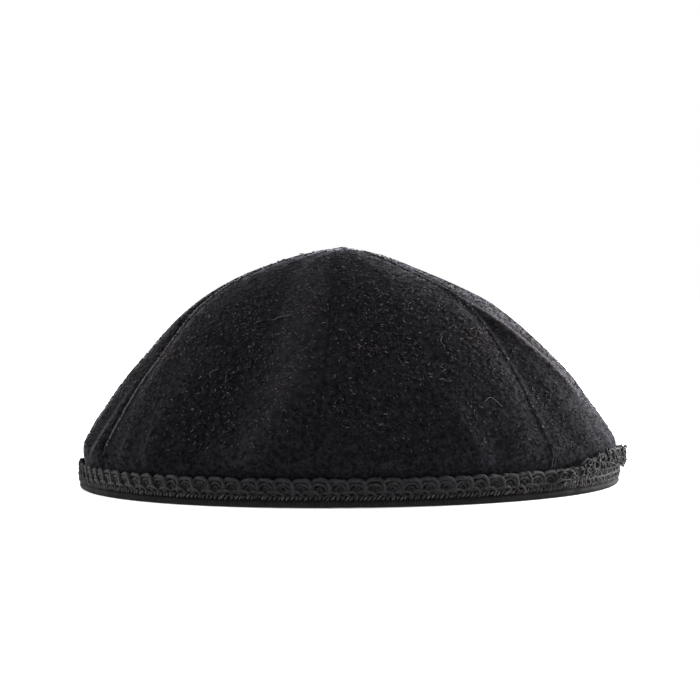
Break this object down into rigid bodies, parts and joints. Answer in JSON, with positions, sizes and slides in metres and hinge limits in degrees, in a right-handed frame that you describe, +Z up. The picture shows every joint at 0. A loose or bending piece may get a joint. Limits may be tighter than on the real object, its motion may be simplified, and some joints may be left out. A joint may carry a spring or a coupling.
{
  "type": "kippah",
  "caption": "Black velvet skullcap of sewn gores, a low dome that peaks in a small nub, with a ribbed ribbon bound round the rim and a scalloped gimp braid sewn over it.",
  "frame": {"origin": "middle of the whole cap's bounding box, in the resting plane under the rim", "axes": "+Z up through the crown, -Y to the front that the picture shows, +X to the picture's right, where the braid laps"},
  "size_m": [0.1812, 0.1798, 0.0785],
  "materials": {
    "velvet": "black cotton velvet, short upright pile, soft pale sheen at grazing angles",
    "ribbed_ribbon": "dark ribbed ribbon, ribs across the rim, slight sheen",
    "gimp_braid": "dark twisted cord gimp, matt"
  },
  "bodies": {
    "root": {"gore_front_left": "velvet", "gore_front_right": "velvet", "gore_right": "velvet", "gore_back_right": "velvet", "gore_back_left": "velvet", "gore_left": "velvet", "rim_binding": "ribbed_ribbon", "braid": "gimp_braid"}
  },
  "joints": []
}
